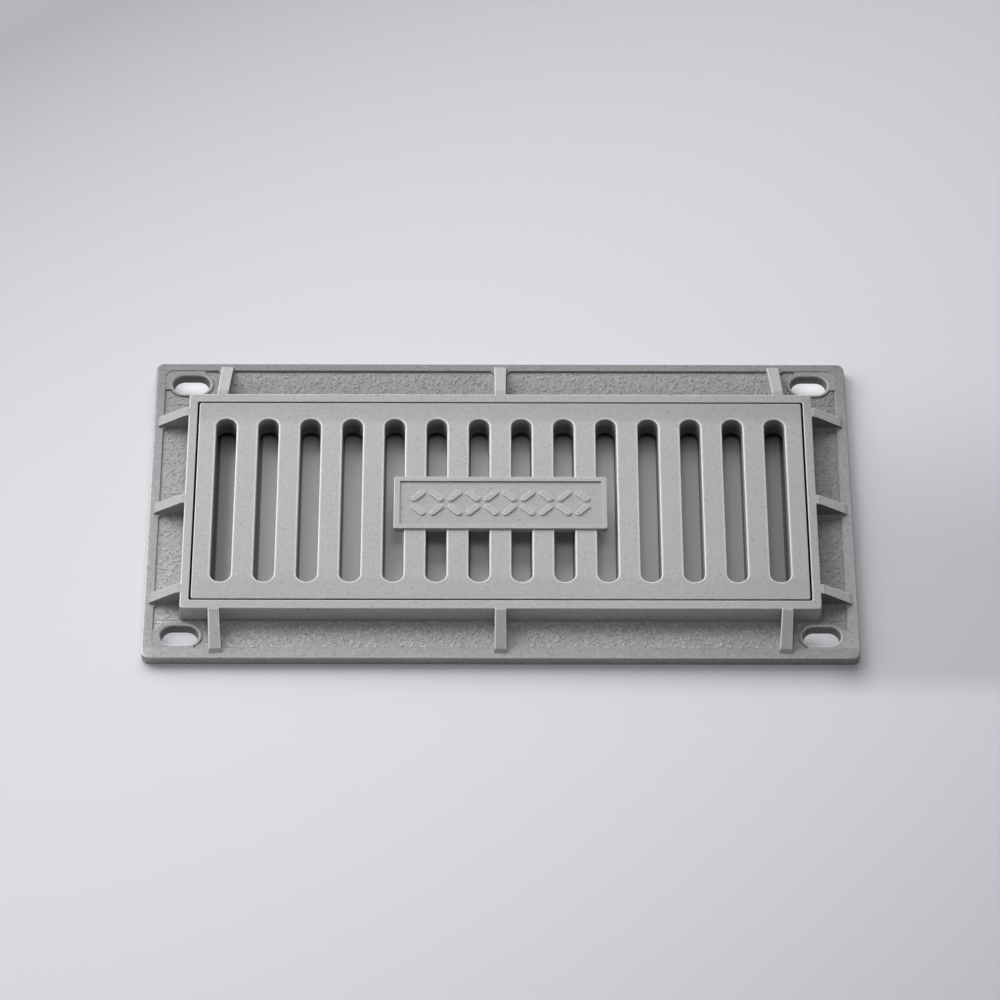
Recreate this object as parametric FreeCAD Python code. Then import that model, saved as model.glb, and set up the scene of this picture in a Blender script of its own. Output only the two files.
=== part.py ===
# Gully grate: a slotted grate that lies loose in a flanged frame over a road gully.
# Both are mouldings in light grey glass-fibre composite. Millimetres, +Z up.
# The origin is the middle of the frame's underside, and the front faces -Y.

import FreeCAD, Part
import math
import os

# Grate: bars and slots
slot_count = 14
slot_pitch = 58.4
slot_width = 28.5
slot_length = 293.0
slot_draft = 2.5        # degrees that each slot wall leans in on its way down
slot_round = 2.0
end_band = 24.2         # solid band from the outermost slot to the grate's end
side_band = 29.2        # solid band from the slot tips to the grate's long edge
grate_depth = 28.0
grate_corner = 3.0
grate_round = 1.5

# Grate: raised plate across the middle, with a sunk field
plate_pitches = 5       # the plate spans this many slot pitches
plate_width = 92.6
plate_shift = -8.0      # the plate's middle from the grate's middle, towards the front
plate_rise = 3.0        # above the bars
plate_sink = 5.0        # below the tops of the bars, where it bridges the slots
plate_corner = 3.0
plate_round = 1.2
plate_border = 8.0
field_sink = 2.0

# Grate: tread studs in the plate's field
stud_columns = 10
stud_rows = 2
stud_pitch = 25.0
stud_length = 24.0
stud_width = 9.0
stud_height = 2.0
stud_bevel = 0.8
stud_turn = 45.0        # degrees, to alternate sides

# Frame: seat and upstand around the grate
seat_height = 10.5
seat_width = 14.0
seat_corner = 12.0
grate_gap = 2.8         # clearance between the grate and the mouth, on every side
mouth_draft = 1.0       # degrees, shared by the mouth and the grate's edge
rim_end = 11.9          # width of the rim's top at the ends
rim_side = 14.0         # and along the long sides
rim_corner = 6.0
rim_round = 2.2
mouth_round = 1.8
upstand_draft = 3.0     # degrees

# Frame: base flange
flange_thickness = 14.5
flange_end = 50.25      # from the upstand to the flange's edge at the ends
flange_back = 78.5
flange_front = 66.5
flange_corner = 11.0
flange_round = 2.5
flange_foot = 1.2       # radius of the flange's lower edge
border_end = 14.4       # smooth border between the edge and the floor of the sunk panels
border_back = 14.5
border_front = 17.0
panel_sink = 3.0
panel_draft = 18.0      # degrees
panel_corner = 7.0      # corner cut off a panel beside a gusset
panel_tip = 3.0         # and beside a corner gusset, on the anchor slot's side
panel_cut = 6.5         # and at the flange's corner
root_round = 2.8        # fillet where upstand and gussets meet the panels

# Frame: gussets
gusset_thickness = 15.2
gusset_draft = 2.2      # degrees
gusset_toe = 4.2        # height and run of the blunt toe
gusset_round = 1.5
shelf_back = 6.2        # level part before the slope
shelf_front = 3.5
shelf_end = 4.5
toe_gap_back = 7.0      # from the toe to the flange's edge
toe_gap_front = 8.0
toe_gap_end = 6.2
corner_gusset_inset = 45.8   # corner gussets from the upstand's end, along the long sides
corner_gusset_lean = 3.6     # degrees, with the toe turned in towards the middle
end_gusset_inset = 33.5      # outer end gussets from the upstand's long sides, before the shift
end_gusset_shift = 1.3       # the three end gussets from the mouth's middle, towards the back

# Frame: anchor slots in the four corners
anchor_length = 54.0
anchor_width = 36.0
anchor_taper = 3.0      # how much each wall comes in below the boss
anchor_land = 5.0       # height of the straight wall over the underside
anchor_round = 2.2
anchor_from_end = 50.4
anchor_from_side = 39.0
anchor_ring = 1.5       # flat of the boss outside the rounded edge
boss_drop = 0.8         # boss below the border
boss_reach_end = 19.4   # boss corner block past the anchor slot's middle, inwards along X
boss_reach_side = 9.5   # and inwards along Y

# Sizes that follow
grate_length = (slot_count - 1) * slot_pitch + slot_width + 2 * end_band
grate_width = slot_length + 2 * side_band
rim_height = seat_height + grate_depth
mouth_length = grate_length + 2 * grate_gap
mouth_width = grate_width + 2 * grate_gap
upstand_length = mouth_length + 2 * rim_end
upstand_width = mouth_width + 2 * rim_side
frame_length = upstand_length + 2 * flange_end
frame_width = upstand_width + flange_back + flange_front
mouth_y = (flange_front - flange_back) / 2
end_gusset_pitch = upstand_width / 2 - end_gusset_inset
panel_floor = flange_thickness - panel_sink
mouth_lean = math.tan(math.radians(mouth_draft))

over = 1.0              # how far a cutting body runs past the face that it cuts
fine = 1e-4             # heights closer than this are the same height


def vec(x, y, z=0.0):
    return FreeCAD.Vector(x, y, z)


def leaning_block(length, width, low, high, lean, corner, middle_y=0.0):
    """A block of the given size at its top, each side moved out by lean x depth further down."""
    spread = lean * (high - low)
    a, b = length / 2, width / 2
    block = Part.makeWedge(-a - spread, low, -b - spread, -b, -a, a + spread, high, b + spread, b, a)
    block.rotate(vec(0, 0), vec(1, 0), 90)
    upright = [e for e in block.Edges if e.BoundBox.ZLength > (high - low) / 2]
    block = block.makeFillet(corner, upright)
    block.translate(vec(0, middle_y))
    return block


def edges_at(shape, z, reach=None):
    """Level edges at height z or, given a reach, only those beside a face that reaches that height."""
    found = []
    for edge in shape.Edges:
        level = abs(edge.BoundBox.ZMin - z) < fine and abs(edge.BoundBox.ZMax - z) < fine
        if level and reach is not None:
            boxes = [face.BoundBox for face in shape.ancestorsOfType(edge, Part.Face)]
            level = any(box.ZMin - fine < reach < box.ZMax + fine for box in boxes)
        if level:
            found.append(edge)
    return found


def rounded(shape, radius, z, reach=None):
    return shape.makeFillet(radius, edges_at(shape, z, reach))


def outline(points, low, high):
    """A prism on a closed outline of straight sides."""
    corners = [vec(x, y, low) for x, y in points]
    return Part.Face(Part.makePolygon(corners + corners[:1])).extrude(vec(0, 0, high - low))


def slotted_core(length, width, low, high, lean):
    """A body with two flat sides along X and two round ends, narrower by lean x depth further down."""
    straight = (length - width) / 2
    top, bottom = width / 2, width / 2 - lean * (high - low)
    wall = Part.makeLine(vec(-straight, -bottom, low), vec(-straight, -top, high))
    flat = wall.extrude(vec(2 * straight, 0))
    wall.translate(vec(2 * straight, 0))
    end = wall.revolve(vec(straight, 0), vec(0, 0, 1), 180)
    half = [flat, end]
    for face in (flat, end):
        turned = face.copy()
        turned.rotate(vec(0, 0), vec(0, 0, 1), 180)
        half.append(turned)
    lids = []
    for reach, z in ((bottom, low), (top, high)):
        corners = [vec(-straight, -reach, z), vec(straight, -reach, z), vec(straight + reach, 0, z),
                   vec(straight, reach, z), vec(-straight, reach, z), vec(-straight - reach, 0, z)]
        lid = [Part.makeLine(corners[0], corners[1]), Part.Arc(*corners[1:4]).toShape(),
               Part.makeLine(corners[3], corners[4]), Part.Arc(corners[4], corners[5], corners[0]).toShape()]
        lids.append(Part.Face(Part.Wire(lid)))
    shell = Part.makeShell(half + lids)
    shell.sewShape()
    return Part.makeSolid(shell)


def drop_slot_cores(body):
    """Cut the row of slots, right through, and round their upper edges."""
    lean = math.tan(math.radians(slot_draft))
    low, high = seat_height - over, rim_height + over
    wide, long = slot_width + 2 * lean * over, slot_length + 2 * lean * over
    for number in range(slot_count):
        core = slotted_core(long, wide, low, high, lean)
        core.rotate(vec(0, 0), vec(0, 0, 1), 90)
        core.translate(vec((number - (slot_count - 1) / 2) * slot_pitch, mouth_y))
        body = body.cut(core)
    return rounded(body, slot_round, rim_height, seat_height)


def make_plate():
    """The raised plate: a bordered field with tread studs, bridging the slots behind it."""
    length = plate_pitches * slot_pitch
    top = rim_height + plate_rise
    floor = top - field_sink
    plate = leaning_block(length, plate_width, rim_height - plate_sink, top, 0.0, plate_corner)
    plate = rounded(plate, plate_round, top)
    field_length, field_width = length - 2 * plate_border, plate_width - 2 * plate_border
    plate = plate.cut(leaning_block(field_length, field_width, floor, top + over, 0.0, plate_round))
    for row in range(stud_rows):
        for column in range(stud_columns):
            stud = slotted_core(stud_length, stud_width, floor - over, floor + stud_height, 0.0)
            stud = stud.makeChamfer(stud_bevel, edges_at(stud, floor + stud_height))
            stud.rotate(vec(0, 0), vec(0, 0, 1), stud_turn if (row + column) % 2 else -stud_turn)
            stud.translate(vec((column - (stud_columns - 1) / 2) * stud_pitch,
                               (row - (stud_rows - 1) / 2) * stud_pitch))
            plate = plate.fuse(stud)
    plate.translate(vec(0, mouth_y + plate_shift))
    return plate


def make_grate():
    """The grate: drafted bars between two solid bands, flush with the rim, and the plate on top."""
    body = leaning_block(grate_length, grate_width, seat_height, rim_height, -mouth_lean,
                         grate_corner, mouth_y)
    body = rounded(body, grate_round, rim_height)
    body = drop_slot_cores(body)
    return body.fuse(make_plate()).removeSplitter()


def make_gusset(wall, shelf, toe):
    """A gusset along +Y from a wall at y = wall to y = toe, with its middle at x = 0."""
    root = wall - rim_end / 2
    low = panel_floor - over
    side = [vec(0, root, low), vec(0, root, rim_height), vec(0, wall + shelf, rim_height),
            vec(0, toe - gusset_toe, flange_thickness + gusset_toe), vec(0, toe, flange_thickness),
            vec(0, toe, low)]
    slab = Part.Face(Part.makePolygon(side + side[:1]))
    half_top = gusset_thickness / 2
    half_low = half_top + (rim_height - low) * math.tan(math.radians(gusset_draft))
    slab.translate(vec(-half_low, 0))
    slab = slab.extrude(vec(2 * half_low, 0))
    front = [vec(-half_low, root, low), vec(half_low, root, low),
             vec(half_top, root, rim_height), vec(-half_top, root, rim_height)]
    sides = Part.Face(Part.makePolygon(front + front[:1])).extrude(vec(0, toe - root))
    gusset = slab.common(sides)
    shoulders = [e for e in gusset.Edges
                 if e.BoundBox.YLength > gusset_toe / 2
                 and e.BoundBox.ZMin > flange_thickness + gusset_toe / 2
                 and abs(e.BoundBox.Center.x) > gusset_thickness / 4]
    return gusset.makeFillet(gusset_round, shoulders)


def gusset_places():
    """Each gusset as side angle, distance along that side, wall, shelf, toe and lean."""
    back, front = upstand_width / 2 + mouth_y, upstand_width / 2 - mouth_y
    end = upstand_length / 2
    corner = end - corner_gusset_inset
    middle = mouth_y + end_gusset_shift
    places = []
    long_sides = ((0, back, shelf_back, toe_gap_back), (180, front, shelf_front, toe_gap_front))
    for angle, wall, shelf, gap in long_sides:
        for along, lean in ((-corner, -corner_gusset_lean), (0.0, 0.0), (corner, corner_gusset_lean)):
            places.append((angle, along, wall, shelf, frame_width / 2 - gap, lean))
    for angle, way in ((90, 1), (270, -1)):
        for step in (-1, 0, 1):
            along = way * (middle + step * end_gusset_pitch)
            places.append((angle, along, end, shelf_end, frame_length / 2 - toe_gap_end, 0.0))
    return places


def make_upstand():
    """Solid block of the upstand with its gussets and their root fillets, on a stub of the flange."""
    lean = math.tan(math.radians(upstand_draft))
    body = leaning_block(upstand_length, upstand_width, panel_floor - over, rim_height, lean,
                         rim_corner, mouth_y)
    body = rounded(body, rim_round, rim_height)
    for angle, along, wall, shelf, toe, turn in gusset_places():
        gusset = make_gusset(wall, shelf, toe)
        gusset.rotate(vec(0, wall), vec(0, 0, 1), turn)
        gusset.translate(vec(along, 0))
        gusset.rotate(vec(0, 0), vec(0, 0, 1), angle)
        body = body.fuse(gusset)
    stub = leaning_block(frame_length - 2 * over, frame_width - 2 * over, 0.0, panel_floor, 0.0,
                         flange_corner)
    body = body.fuse(stub).removeSplitter()
    return rounded(body, min(root_round, 0.95 * panel_sink), panel_floor, flange_thickness)


def pocket(points):
    """A cutting body on a panel's outline at its floor, with walls that lean out on their way up."""
    deep = panel_sink + over
    floor = Part.makePolygon([vec(x, y, panel_floor) for x, y in points + points[:1]])
    mouth = floor.makeOffset2D(math.tan(math.radians(panel_draft)) * deep, 2)
    mouth.translate(vec(0, 0, deep))
    return Part.makeLoft([floor, mouth], True, True)


def sunk_panels():
    """Cutting bodies of the sunk panels between the gussets, less the bosses of the anchor slots."""
    cut = gusset_thickness / 2 + panel_corner
    tip = gusset_thickness / 2 + panel_tip
    inner_x = frame_length / 2 - border_end
    rib_x = upstand_length / 2 - corner_gusset_inset
    end = upstand_length / 2
    middle = mouth_y + end_gusset_shift
    bodies = []
    for way_y, border in ((-1, border_front), (1, border_back)):
        wall = upstand_width / 2 + way_y * mouth_y
        inner_y = frame_width / 2 - border
        rib_y = end_gusset_pitch + way_y * middle
        side = [(0, wall - over), (0, inner_y - cut), (cut, inner_y), (rib_x - cut, inner_y),
                (rib_x, inner_y - cut), (rib_x, wall - over)]
        corner = [(rib_x, rib_y), (inner_x - cut, rib_y), (inner_x, rib_y + cut),
                  (inner_x, inner_y - panel_cut), (inner_x - panel_cut, inner_y),
                  (rib_x + tip, inner_y), (rib_x, inner_y - tip)]
        for way_x in (-1, 1):
            bodies.append(pocket([(way_x * x, way_y * y) for x, y in side]))
            bodies.append(pocket([(way_x * x, way_y * y) for x, y in corner]).cut(make_boss(way_x, way_y)))
    for low_y, high_y in ((middle - end_gusset_pitch, middle), (middle, middle + end_gusset_pitch)):
        across = [(end - over, low_y), (inner_x - cut, low_y), (inner_x, low_y + cut),
                  (inner_x, high_y - cut), (inner_x - cut, high_y), (end - over, high_y)]
        for way_x in (-1, 1):
            bodies.append(pocket([(way_x * x, y) for x, y in across]))
    return bodies


def anchor_centre(way_x, way_y):
    return vec(way_x * (frame_length / 2 - anchor_from_end), way_y * (frame_width / 2 - anchor_from_side))


def make_boss(way_x, way_y):
    """The boss round an anchor slot, with the block that ties it to the flange's corner."""
    ring = 2 * (anchor_round + anchor_ring)
    low, high = panel_floor - over, flange_thickness - boss_drop
    centre = anchor_centre(way_x, way_y)
    boss = slotted_core(anchor_length + ring, anchor_width + ring, low, high, 0.0)
    boss.translate(centre)
    near_x, near_y = centre.x - way_x * boss_reach_end, centre.y - way_y * boss_reach_side
    far_x, far_y = way_x * frame_length / 2, way_y * frame_width / 2
    tie = outline([(near_x, near_y), (far_x, near_y), (far_x, far_y), (near_x, far_y)], low, high)
    return boss.fuse(tie)


def make_frame():
    """The frame: flange with sunk panels, upstand with gussets, seat for the grate, anchor slots."""
    flange = leaning_block(frame_length, frame_width, 0.0, flange_thickness, 0.0, flange_corner)
    flange = rounded(flange, flange_round, flange_thickness)
    flange = rounded(flange, flange_foot, 0.0)
    for panel in sunk_panels():
        flange = flange.cut(panel)
    body = flange.fuse(make_upstand())
    body = body.cut(leaning_block(mouth_length + 2 * mouth_lean * over, mouth_width + 2 * mouth_lean * over,
                                  seat_height, rim_height + over, -mouth_lean, grate_corner, mouth_y))
    body = body.cut(leaning_block(mouth_length - 2 * seat_width, mouth_width - 2 * seat_width,
                                  -over, seat_height + over, 0.0, seat_corner, mouth_y))
    boss_top = flange_thickness - boss_drop
    lean = anchor_taper / (boss_top - anchor_land)
    long, wide = anchor_length + 2 * lean * over, anchor_width + 2 * lean * over
    for way_x in (-1, 1):
        for way_y in (-1, 1):
            hole = slotted_core(long, wide, anchor_land, boss_top + over, lean)
            hole = hole.fuse(slotted_core(anchor_length - 2 * anchor_taper, anchor_width - 2 * anchor_taper,
                                          -over, anchor_land, 0.0))
            hole.translate(anchor_centre(way_x, way_y))
            body = body.cut(hole)
    body = body.removeSplitter()
    body = rounded(body, mouth_round, rim_height, seat_height)
    return rounded(body, anchor_round, boss_top, anchor_land)


os.makedirs("parts", exist_ok=True)
for name, shape in (("frame", make_frame()), ("grate", make_grate())):
    solid = shape.Solids[0]
    solid.exportStep("parts/" + name + ".step")
    print(name, "solids", len(shape.Solids), "valid", solid.isValid(),
          "volume cm3", round(solid.Volume / 1000, 1), "faces", len(solid.Faces))
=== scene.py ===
"""A gully grate lying in its frame on a pale floor, seen from above its front."""
import math
import random
import bmesh
import bpy
from mathutils import Matrix, Vector, kdtree, noise


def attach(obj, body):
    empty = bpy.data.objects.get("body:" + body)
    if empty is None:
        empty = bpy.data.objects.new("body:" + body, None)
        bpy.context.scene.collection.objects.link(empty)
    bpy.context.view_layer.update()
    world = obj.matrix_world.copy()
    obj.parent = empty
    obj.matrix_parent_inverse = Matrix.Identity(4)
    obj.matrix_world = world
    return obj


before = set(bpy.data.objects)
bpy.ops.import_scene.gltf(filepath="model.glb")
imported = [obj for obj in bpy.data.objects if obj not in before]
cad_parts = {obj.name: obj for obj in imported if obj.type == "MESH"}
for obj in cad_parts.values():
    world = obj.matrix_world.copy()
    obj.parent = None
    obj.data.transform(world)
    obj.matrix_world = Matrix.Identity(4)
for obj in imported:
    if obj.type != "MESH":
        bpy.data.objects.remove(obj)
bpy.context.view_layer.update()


# Frame: the flange, its gussets, the upstand and the seat are one pressing in light grey
# glass-fibre compound. It leaves a hot steel mould with a satin skin, in which short fibres and
# filler show as faint specks, and its edges are rubbed lighter and carry a painted highlight.
# Light and shade are also painted into its grey, place by place.


class Wire:
    """A socket in a material, on which Python's arithmetic adds Math nodes."""

    def __init__(self, tree, socket=None):
        self.tree = tree
        self.socket = socket

    def make(self, kind, settings=None, values=None, output=0):
        """A new node with its settings, then the values or wires of its sockets; gives one output."""
        node = self.tree.nodes.new("ShaderNode" + kind)
        for name, value in (settings or {}).items():
            if name == "stops":
                for stop, (place, tone) in zip(node.color_ramp.elements, value):
                    stop.position = place
                    stop.color = (tone, tone, tone, 1)
            else:
                setattr(node, name, value)
        for name, value in (values or {}).items():
            if isinstance(value, Wire):
                self.tree.links.new(value.socket, node.inputs[name])
            else:
                node.inputs[name].default_value = value
        return Wire(self.tree, node.outputs[output])

    def other(self, output):
        """Another output of this wire's node."""
        return Wire(self.tree, self.socket.node.outputs[output])

    def maths(self, operation, *values):
        return self.make("Math", {"operation": operation}, dict(enumerate(values)))

    def __add__(self, other):
        return self.maths("ADD", self, other)

    def __sub__(self, other):
        return self.maths("SUBTRACT", self, other)

    def __rsub__(self, other):
        return self.maths("SUBTRACT", other, self)

    def __mul__(self, other):
        return self.maths("MULTIPLY", self, other)

    def __truediv__(self, other):
        return self.maths("DIVIDE", self, other)

    __radd__ = __add__
    __rmul__ = __mul__

    def step(self, low, high):
        """0 below low and 1 above high, with a soft change between them."""
        return self.make("MapRange", {"interpolation_type": "SMOOTHSTEP"}, {0: self, 1: low, 2: high})

    def grain(self, scale, detail=2.0, roughness=0.5, stretch=0.0):
        """Noise from 0 to 1 at this many waves a metre."""
        return self.make("TexNoise", {}, {"Vector": self, "Scale": scale, "Detail": detail,
                                          "Roughness": roughness, "Distortion": stretch})

    def colour(self, low, high):
        """A colour between two others, as this wire goes from 0 to 1."""
        return self.make("Mix", {"data_type": "RGBA"}, {0: self, 6: low, 7: high}, 2)


def moulded(name, tone, local):
    """The finish of one pressing: tone is its grey, and local gives the share of the slanting faces
    that are rounded edges, rubbed and painted as highlights, the painted light and shade of each place and how
    pitted."""
    material = bpy.data.materials.new(name)
    material.use_nodes = True
    tree = material.node_tree
    shader = tree.nodes["Principled BSDF"]
    start = Wire(tree)
    place = start.make("TexCoord", output="Object")
    along = place.make("SeparateXYZ", {}, {0: place}, "X")
    across, height = along.other("Y"), along.other("Z")
    facing = place.make("SeparateXYZ", {}, {0: place.other("Normal")}, "X")
    rise = facing.other("Z")

    # Cloudy flow of the compound, fine mottling, pale fibre ends and dark filler specks.
    cloud = place.grain(9.0, 3.0)
    mottle = place.grain(230.0, 4.0, 0.7)
    fibre = place.grain(420.0, 1.0, 0.5, 1.5).step(0.66, 0.74)
    dark = 1 - place.grain(380.0, 1.5, 0.5, 1.0).step(0.29, 0.36)
    edges, painted_light, pitted = local(along, across, height, facing)
    lumps = place.grain(110.0, 2.0, 0.6)
    shade = 0.93 + cloud * 0.10 + (mottle - 0.5) * (0.44 + 0.40 * pitted) + (lumps - 0.5) * (0.14 + 0.16 * pitted)
    shade = shade + fibre * (0.26 + 0.16 * pitted) - dark * (0.34 + 0.24 * pitted)

    # Rounded edges, where the face is neither level nor upright, are rubbed lighter and carry a painted
    # highlight, strongest where they face the front, away from the lamps.
    slant = rise.maths("ABSOLUTE", rise)
    worn_edge_and_highlight = slant.step(0.15, 0.45) * (1 - slant.step(0.96, 0.998)) * edges
    endways_highlight = (0 - facing.other("Y")).step(0.15, 0.60) + 0.5 * facing.other("Y").step(0.15, 0.60)
    shade = (shade + worn_edge_and_highlight * (0.40 + 0.75 * endways_highlight + 0.40 * mottle)) * painted_light
    # Painted shade: the whole pressing darkens a little towards the right and the back, away from the lamp.
    shade = shade * (1 - 0.11 * along.step(0.15, 0.45)) * (1 - 0.10 * across.step(0.125, 0.170))
    base = shade.make("VectorMath", {"operation": "SCALE"}, {0: tone, "Scale": shade})
    tree.links.new(base.socket, shader.inputs["Base Color"])

    rough = 0.50 + mottle * 0.16 - worn_edge_and_highlight * 0.08
    tree.links.new(rough.socket, shader.inputs["Roughness"])
    fine = place.grain(1500.0, 3.0, 0.6) * 0.35 + mottle * 0.5 + fibre * 0.25 - dark * 0.4
    bump = fine.make("Bump", {}, {"Strength": 0.35, "Distance": 0.0004, "Height": fine})
    tree.links.new(bump.socket, shader.inputs["Normal"])
    return material


def frame_places(along, across, height, facing):
    """The rounded edges of the rim, flange and anchor slots and the gussets' shoulders, but no slope
    or root, rubbed and painted as highlights, the flange's more pitted skin, and painted light and
    shade: the flange, the mouth's walls, the anchor holes, the gussets' fronts and right faces and the rim's back
    darker, the upstand's front and some slopes lighter."""
    x, y = along.maths("ABSOLUTE", along), across.maths("ABSOLUTE", across)
    middle = (across + 0.0060).maths("ABSOLUTE", across + 0.0060)
    rim = height.step(0.0350, 0.0352) * (1 - x.step(0.4328, 0.4329)) * (1 - middle.step(0.1926, 0.1927))
    at_end = x.step(0.4200, 0.4201)
    sideways = facing.maths("ABSOLUTE", facing) * (1 - at_end)
    sideways = sideways + facing.maths("ABSOLUTE", facing.other("Y")) * at_end
    shoulder = height.step(0.0146, 0.0148) * sideways.step(0.08, 0.20)
    outer = rim.maths("MAXIMUM", x.step(0.4800, 0.4805), y.step(0.2620, 0.2625))
    slot_x, slot_y = (x - 0.4326).step(-0.0300, -0.0296), (y - 0.2260).step(-0.0209, -0.0205)
    low = rim.maths("MAXIMUM", outer, slot_x * slot_y) * (1 - height.step(0.0146, 0.0148))
    low = low * height.step(0.0112, 0.0118)
    # Of the sunk panels' outer walls only those at the front and the right get a painted highlight.
    panel_wall_highlight = (1 - facing).step(1.5, 1.8) * along.step(0.4675, 0.4678)
    panel_wall_highlight = panel_wall_highlight + facing.other("Y").step(0.5, 0.8) * (0 - across).step(0.2468, 0.2471)
    panel_wall_highlight = panel_wall_highlight * height.step(0.0117, 0.0120) * (1 - height.step(0.0146, 0.0148)) * 1.6
    flange = 1 - height.step(0.0147, 0.0152)
    # Painted shade: the flange's grey is darker than the rim's, most at the back and the left.
    flange_painted_shade = flange * (0.24 + 0.38 * across - 0.12 * along)
    # Painted shade: the mouth's walls below the rim are darkened, where the gap between frame and grate lies in
    # shade.
    mouth = (1 - x.step(0.4209, 0.4212)) * (1 - middle.step(0.1785, 0.1788))
    recess_painted_shade = mouth * (1 - height.step(0.0355, 0.0378))
    # Painted light and shade on the upright faces towards the front: the upstand's front wall lighter, the
    # gussets' fronts darker.
    painted_front_faces = height.step(0.0150, 0.0170) * (1 - height.step(0.0350, 0.0362)) * (0 - facing.other("Y")).step(0.8, 0.95)
    gusset_front_painted_shade = painted_front_faces * x.step(0.4329, 0.4330)
    painted_front_faces = painted_front_faces - gusset_front_painted_shade
    # Painted shade on the gussets' faces that point right, away from the lamp.
    lee_painted_shade = facing.step(0.6, 0.9) * height.step(0.0150, 0.0160) * (1 - rim) * (1 - x.step(0.4200, 0.4201))
    # Painted shade in the anchor holes below their rounded mouths.
    anchor_painted_shade = slot_x * slot_y * (1 - height.step(0.0095, 0.0120)) * (1 - outer)
    slope = height.step(0.0148, 0.0152) * (1 - height.step(0.0376, 0.0380)) * (1 - sideways.step(0.5, 0.8))
    slope = slope * rim.maths("MAXIMUM", x.step(0.4329, 0.4330), middle.step(0.1927, 0.1928))
    slope = slope * facing.other("Z").step(0.3, 0.5)
    painted_light = (1 - flange_painted_shade) * (1 - 0.85 * recess_painted_shade) * (1 - 0.4 * anchor_painted_shade)
    painted_light = painted_light * (1 - gusset_front_painted_shade * (0.26 + 0.28 * along.step(-0.1, 0.1)))
    # Painted light and shade on the gussets' slopes: lightest at the right end and at the front's left corner.
    ahead = (0 - across).step(0.196, 0.199)
    slope_painted_light = 0.45 * along.step(0.42, 0.43) + ahead * (0.18 + 0.25 * (0 - along).step(0.20, 0.35)) + 0.11 * across.step(0.184, 0.187)
    painted_light = painted_light * (1 + slope * (slope_painted_light - 0.10))
    painted_light = painted_light * (1 + 0.22 * painted_front_faces) * (1 - 0.35 * lee_painted_shade)
    # Painted shade: the rim darkens towards the back and the right, and the borders outside the panels a little
    # too; the flange's left edge gets a painted highlight.
    rim_painted_shade = rim * height.step(0.0380, 0.0384) * at_end
    painted_light = painted_light * (1 - rim_painted_shade * (0.28 * across + 0.07 * along.step(-0.10, 0.10)))
    painted_light = painted_light * (1 - flange * (0 - across).step(0.2475, 0.2485) * (0.02 + 0.34 * along))
    border = flange * x.step(0.4681, 0.4690)
    painted_light = painted_light * (1 + 0.06 * border * (0 - along).step(0.4681, 0.4690)) * (1 - 0.13 * border * across.step(0.17, 0.21))
    painted_light = painted_light * (1 - 0.09 * flange * across.step(0.2500, 0.2510))
    painted_light = painted_light * (1 + 0.10 * flange * (0 - along).step(0.4765, 0.4790))
    rubbed_and_highlit = rim.maths("MAXIMUM", rim.maths("MAXIMUM", rim, shoulder), rim.maths("MAXIMUM", low, panel_wall_highlight))
    return rubbed_and_highlit, painted_light, flange


frame_grey = (0.425, 0.425, 0.425)
frame_finish = moulded("frame_moulding", frame_grey, frame_places)
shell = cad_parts["frame"]
shell.data.materials.clear()
shell.data.materials.append(frame_finish)


# Panel grain: the sunk panels of the flange carry a raised crazed grain, etched into the mould so
# that mortar keys to it. Each skin is part of the frame's pressing, so it lies on the panel's
# floor with its edges sunk into it.

panel_floor = 0.0115
skin_level = 0.00040
ridge_height, ridge_width = 0.0011, 0.00060
stroke_space = 0.0052
grid_step = 0.00070
outer_x, outer_back, outer_front = 0.4681, 0.2500, -0.2475
wall_x, wall_back, wall_front = 0.4338, 0.1876, -0.1996
gusset_x = 0.3850
gusset_rows = (-0.1637, -0.0047, 0.1543)
anchor_x, anchor_y = 0.4326, 0.2260
anchor_half, anchor_reach = 0.0090, 0.0219
tie_x, tie_y = 0.0194, 0.0095
chance = random.Random(5)


def add_strokes(tree, rise, x0, x1, y0, y1):
    """Raise or cut short bent strokes of the grain at random, a few millimetres long, over one panel."""
    for number in range(round((x1 - x0) * (y1 - y0) / stroke_space ** 2)):
        middle = Vector((chance.uniform(x0, x1), chance.uniform(y0, y1), panel_floor))
        angle = chance.uniform(0, 2 * math.pi)
        height = chance.choice((1.0, 1.0, 0.7, -0.6)) * ridge_height
        for piece in range(chance.choice((1, 2, 2, 3))):
            half = chance.uniform(0.0005, 0.0014)
            way = Vector((math.cos(angle), math.sin(angle), 0))
            middle = middle + way * half
            for spot, index, away in tree.find_range(middle, half + 2.2 * ridge_width):
                along = (spot - middle).dot(way)
                aside = (spot - middle - way * max(-half, min(half, along))).length
                swell = height * math.exp(-(aside / ridge_width) ** 2)
                rise[index] = max(rise[index], swell) if height > 0 else min(rise[index], swell)
            middle = middle + way * half
            angle += chance.choice((-1, 1)) * chance.uniform(0.5, 1.4)


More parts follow.
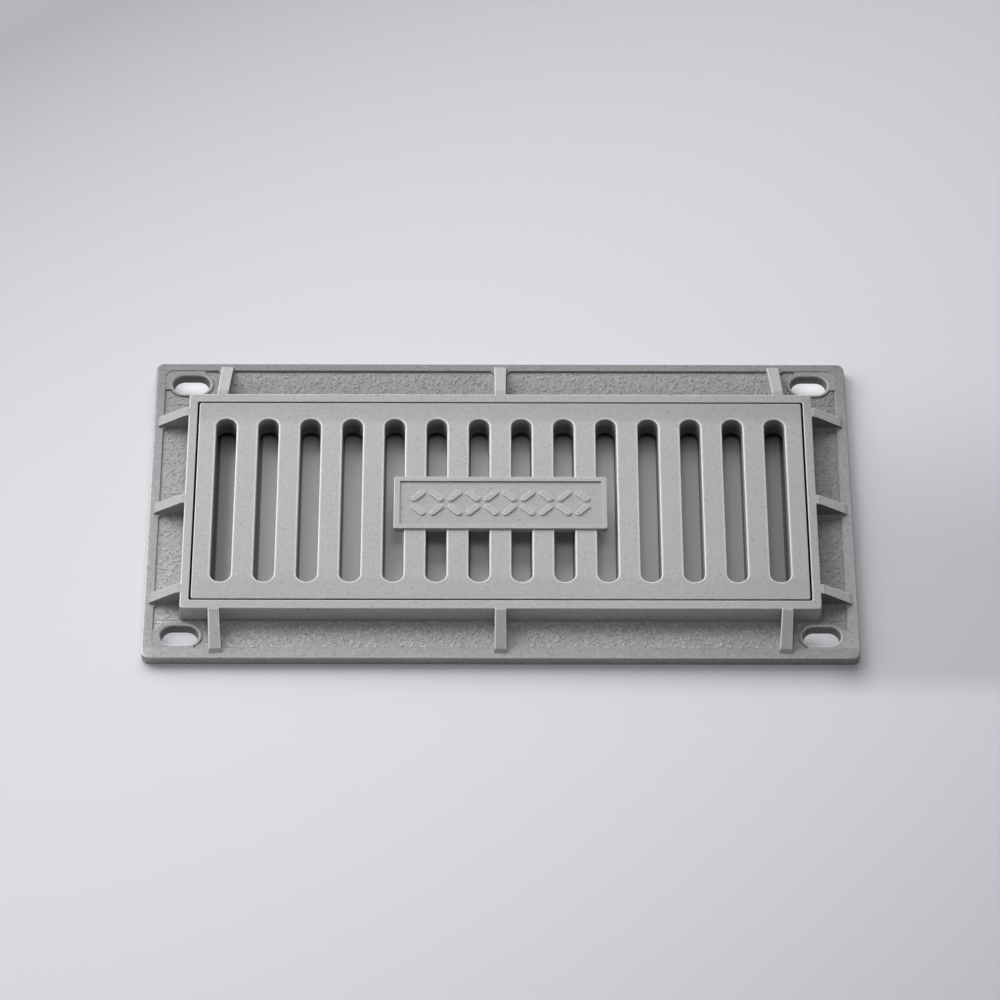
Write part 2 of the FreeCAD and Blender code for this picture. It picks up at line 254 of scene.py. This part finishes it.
def add_skin(skin, x0, x1, y0, y1):
    """Add one panel's skin, clear of the anchor slots' bosses, to a bmesh."""
    across, along = round((x1 - x0) / grid_step), round((y1 - y0) / grid_step)
    grid = bmesh.ops.create_grid(skin, x_segments=across, y_segments=along, size=0.5)["verts"]
    bmesh.ops.scale(skin, verts=grid, vec=(x1 - x0, y1 - y0, 1))
    bmesh.ops.translate(skin, verts=grid, vec=((x0 + x1) / 2, (y0 + y1) / 2, panel_floor))
    tree = kdtree.KDTree(len(grid))
    for index, vert in enumerate(grid):
        tree.insert(vert.co, index)
    tree.balance()
    rise = [0.0] * len(grid)
    add_strokes(tree, rise, x0, x1, y0, y1)
    bored = []
    for vert, swell in zip(grid, rise):
        x, y = abs(vert.co.x) - anchor_x, abs(vert.co.y) - anchor_y
        if math.hypot(max(0.0, abs(x) - anchor_half), y) < anchor_reach or (-tie_x < x and -tie_y < y):
            bored.append(vert)
        else:
            rim = min(vert.co.x - x0, x1 - vert.co.x, vert.co.y - y0, y1 - vert.co.y)
            fade = min(1.0, max(0.0, rim / 0.002))
            grit = 0.00012 * noise.noise(Vector((vert.co.x, vert.co.y, 0.3)) * 600)
            vert.co.z += (skin_level + swell + grit) * fade - 0.00005
    bmesh.ops.delete(skin, geom=bored, context="VERTS")


def finish_skin(skin, name):
    """Close each skin downwards into the panel's floor, and make the piece."""
    rims = [e for e in skin.edges if e.is_boundary]
    walls = bmesh.ops.extrude_edge_only(skin, edges=rims)["geom"]
    for part in walls:
        if isinstance(part, bmesh.types.BMVert):
            part.co.z = panel_floor - 0.0006
    bmesh.ops.holes_fill(skin, edges=[e for e in skin.edges if e.is_boundary], sides=0)
    bmesh.ops.recalc_face_normals(skin, faces=skin.faces)
    for face in skin.faces:
        face.smooth = True
    mesh = bpy.data.meshes.new(name)
    skin.to_mesh(mesh)
    skin.free()
    piece = bpy.data.objects.new(name, mesh)
    bpy.context.scene.collection.objects.link(piece)
    mesh.materials.append(grain_finish)
    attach(piece, "root")
    return piece


def grain_places(along, across, height, facing):
    """No rubbed edges; the ridges' tops get a painted highlight, strongest on the front panels, and the panels
    get painted light and shade by place.
    """
    edges, painted_light, pitted = frame_places(along, across, height, facing)
    ridge_highlight = ((height - panel_floor - skin_level) / ridge_height).step(-0.4, 0.9)
    contrast = 0.34 + 0.30 * (0 - across).step(0.15, 0.19)
    ends_painted_shade = along.maths("ABSOLUTE", along).step(0.385, 0.440)
    # Painted light and shade across the panels by place, darker on the end panels, with a lighter strip at the
    # back.
    panel_painted_shade = 1.04 - 0.18 * across - (0.16 - 0.73 * across) * along - ends_painted_shade * (0.064 + 0.34 * along)
    panel_painted_shade = panel_painted_shade + 0.17 * across.step(0.212, 0.248)
    return edges * 0.0, painted_light * (0.88 + ridge_highlight * contrast) * panel_painted_shade, pitted


grain_finish = moulded("panel_grain", frame_grey, grain_places)

for side, low, high in (("front", outer_front, wall_front), ("back", wall_back, outer_back)):
    skin = bmesh.new()
    add_skin(skin, -gusset_x, -0.0075, low, high)
    add_skin(skin, 0.0075, gusset_x, low, high)
    finish_skin(skin, "panel_grain_" + side)

for side, low, high in (("left", -outer_x, -wall_x), ("right", wall_x, outer_x)):
    skin = bmesh.new()
    for first, last in zip(gusset_rows, gusset_rows[1:]):
        add_skin(skin, low, high, first + 0.0075, last - 0.0075)
    inner, outer = (low, -gusset_x) if side == "left" else (gusset_x, high)
    add_skin(skin, inner, outer, outer_front, wall_front)
    add_skin(skin, inner, outer, wall_back, outer_back)
    add_skin(skin, low, high, wall_front, gusset_rows[0] - 0.0075)
    add_skin(skin, low, high, gusset_rows[2] + 0.0075, wall_back)
    finish_skin(skin, "panel_grain_" + side)


# Grate: drafted bars between two solid bands and the raised tread plate across them, one pressing
# in the same compound. It lies loose on the frame's seat, and tyres and feet keep its top a
# little cleaner than the frame.

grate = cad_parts["grate"]
grate.data.materials.clear()


def grate_places(along, across, height, facing):
    """Every rounded edge is rubbed and carries a painted highlight; painted shade darkens the slots' walls
    further down, and the plate's sunk field is a little darker.
    """
    upright = 1 - facing.maths("ABSOLUTE", facing.other("Z")).step(0.2, 0.4)
    recess_painted_shade = upright * (1 - height.step(0.0200, 0.0390)) * (1 - 0.7 * (0 - facing).step(0.5, 0.9))
    field = height.step(0.0390, 0.0393) * (1 - height.step(0.0396, 0.0400))
    # A painted highlight ring on the flat round each slot: how far this place is outside the slot's outline.
    beside = along.maths("WRAP", along / 0.0584 + 0.5, 0.5, -0.5) * 0.0584
    beyond = (across + 0.0060).maths("ABSOLUTE", across + 0.0060) - 0.13225
    beyond = beyond.maths("MAXIMUM", beyond, 0.0)
    away = beside.maths("SQRT", beside * beside + beyond * beyond) - 0.01425
    slot_ring_highlight = (1 - away.step(0.0022, 0.0036)) * height.step(0.0380, 0.0384) * (1 - height.step(0.0386, 0.0388))
    slot_ring_highlight = slot_ring_highlight * (1 - along.maths("ABSOLUTE", along).step(0.402, 0.403))
    # Painted shade: the solid bands darker at the front and more at the back.
    bands_painted_shade = (1 - 0.06 * (0 - across).step(0.142, 0.152)) * (1 - 0.11 * across.step(0.130, 0.140))
    return recess_painted_shade * 0.0 + 1.0, (1 - 0.68 * recess_painted_shade - 0.10 * field) * (1 + 0.26 * slot_ring_highlight) * bands_painted_shade, recess_painted_shade * 0.0


grate.data.materials.append(moulded("grate_moulding", (0.435, 0.435, 0.435), grate_places))


# Floor: a pale sheet whose colour is painted darker away from the lamp's side, with painted shadows round the
# frame, painted light and shade where it shows through the slots, and a painted glow in the anchor holes.

sheet = bmesh.new()
bmesh.ops.create_grid(sheet, x_segments=1, y_segments=1, size=6.0)
floor_mesh = bpy.data.meshes.new("floor")
sheet.to_mesh(floor_mesh)
sheet.free()
floor = bpy.data.objects.new("floor", floor_mesh)
bpy.context.scene.collection.objects.link(floor)
paper = bpy.data.materials.new("pale_floor")
paper.use_nodes = True
paper_shader = paper.node_tree.nodes["Principled BSDF"]
paper_shader.inputs["Roughness"].default_value = 0.9
paper_shader.inputs["Specular IOR Level"].default_value = 0.1
spot = Wire(paper.node_tree).make("TexCoord", output="Object")
right = spot.make("SeparateXYZ", {}, {0: spot}, "X")
back = right.other("Y")
# Painted shade: the sheet darkens away from the lamp's side, to no less than a least tone, with a painted shadow
# band beside the right end.
fade = 1.0 + 0.034 * right - 0.202 * back - 0.141 * right * right - 0.162 * back * back + 0.199 * right * back
least = 0.88 - 0.43 * back.step(-0.20, 0.50)
fade = fade.maths("MINIMUM", fade.maths("MAXIMUM", fade, least), 1.1)
fade = fade - 0.21 * right.step(0.42, 0.50) * back.step(-0.330, -0.270) * (1 - back.step(-0.10, 0.30))
aside = right.maths("ABSOLUTE", right)
# Painted shade and light where the sheet shows through the slots: darker strips at the bars' feet, at the far
# ends, at the front and in the outer slots, and each slot's floor lighter to the right.
under = (1 - aside.step(0.40, 0.41)) * (1 - back.maths("ABSOLUTE", back).step(0.165, 0.185))
across = right.maths("WRAP", right / 0.0584 + 0.5, 0.5, -0.5) * 0.0584
outward = right.maths("WRAP", aside / 0.0584 + 0.5, 0.5, -0.5) * 0.0584
foot_painted_shadow = (outward + 0.0006 + 0.0026 * ((0 - right).step(0.27, 0.32) + right.step(0.33, 0.38))).step(0.0117, 0.0127)
far_end_painted_shadow = back.step(0.108, 0.150)
fore = (0 - back).step(0.02, 0.09) * 0.02
ends_painted_shade = (0 - right).step(0.10, 0.20) * 0.06 + (0 - right).step(0.362, 0.380) * 0.40
ends_painted_shade = ends_painted_shade + right.step(0.12, 0.28) * 0.25 + right.step(0.33, 0.39) * 0.17
dim = (1 - 0.10 * under) * (1 - fore * under) * (1 - 0.65 * foot_painted_shadow * under) * (1 - 0.80 * far_end_painted_shadow * under) * (1 - ends_painted_shade * under)
fade = fade * dim * (1 + 11.0 * across * under)
# Painted shadows in front of the flange, deeper to the right, and just outside the right end.
ahead = (0 - back).step(0.266, 0.282) * (1 - (0 - back).step(0.277, 0.325)) * (1 - aside.step(0.47, 0.51))
fade = fade * (1 - ahead * (0.13 + 0.30 * right))
beside = right.step(0.4880, 0.4980) * (1 - right.step(0.500, 0.535)) * (1 - back.maths("ABSOLUTE", back).step(0.25, 0.28))
fade = fade * (1 - 0.04 * beside)
paper_tone = under.colour((0.751, 0.760, 0.805, 1), (0.79, 0.782, 0.782, 1))
tone = fade.make("VectorMath", {"operation": "SCALE"}, {0: paper_tone, "Scale": fade})
paper.node_tree.links.new(tone.socket, paper_shader.inputs["Base Color"])
# Painted light: the floor in the anchor holes glows for camera, glossy and transmission rays, more towards the
# back.
behind = back.maths("ABSOLUTE", back) - 0.2260
hole = aside.step(0.402, 0.404) * (1 - aside.step(0.460, 0.462)) * (1 - behind.maths("ABSOLUTE", behind).step(0.017, 0.019))
lift = (back - back.maths("SIGN", back) * 0.2260).step(-0.010, 0.014)
seen = spot.make("LightPath", output="Is Camera Ray")
seen = seen + seen.other("Is Glossy Ray") + seen.other("Is Transmission Ray")
seen = seen.maths("MINIMUM", seen, 1.0) * hole * lift * (1.0 + 1.4 * back)
glow = hole.make("VectorMath", {"operation": "SCALE"}, {0: (0.45, 0.45, 0.46), "Scale": seen})
paper.node_tree.links.new(glow.socket, paper_shader.inputs["Emission Color"])
paper_shader.inputs["Emission Strength"].default_value = 1.0
floor_mesh.materials.append(paper)


# Lamps: one broad soft lamp high behind the left end, a weaker one overhead, and an even pale room.

for name, place, size, watts in (("key", (-3.0, 2.55, 2.45), 4.0, 212.0), ("back", (0.3, 4.2, 3.0), 4.6, 135.0),
                                 ("overhead", (0.0, -0.4, 3.2), 1.6, 13.0)):
    lamp_data = bpy.data.lights.new(name, "AREA")
    lamp_data.shape = "DISK"
    lamp_data.size = size
    lamp_data.energy = watts
    lamp = bpy.data.objects.new(name, lamp_data)
    lamp.location = place
    lamp.rotation_euler = (-Vector(place)).to_track_quat("-Z", "Y").to_euler()
    bpy.context.scene.collection.objects.link(lamp)

room = bpy.data.worlds.new("room")
room.use_nodes = True
room.node_tree.nodes["Background"].inputs["Color"].default_value = (0.97, 0.98, 1.0, 1)
room.node_tree.nodes["Background"].inputs["Strength"].default_value = 0.147
bpy.context.scene.world = room


# Camera: a long lens above the front, turned and tilted as the photograph was.

height_angle, turn, tilt = math.radians(49.552), math.radians(-0.3084), math.radians(0.3252)
distance, right, up = 7.19108, -0.000580, 0.019220
camera_data = bpy.data.cameras.new("camera")
camera_data.lens = 188.067
camera_data.sensor_width = 36.0
camera_data.clip_end = 50.0
camera = bpy.data.objects.new("camera", camera_data)
aim = Matrix.Rotation(turn, 4, "Z") @ Matrix.Rotation(math.radians(90) - height_angle, 4, "X")
camera.matrix_world = aim @ Matrix.Translation((right, up, distance)) @ Matrix.Rotation(tilt, 4, "Z")
bpy.context.scene.collection.objects.link(camera)
bpy.context.scene.camera = camera
bpy.context.scene.view_settings.view_transform = "Standard"
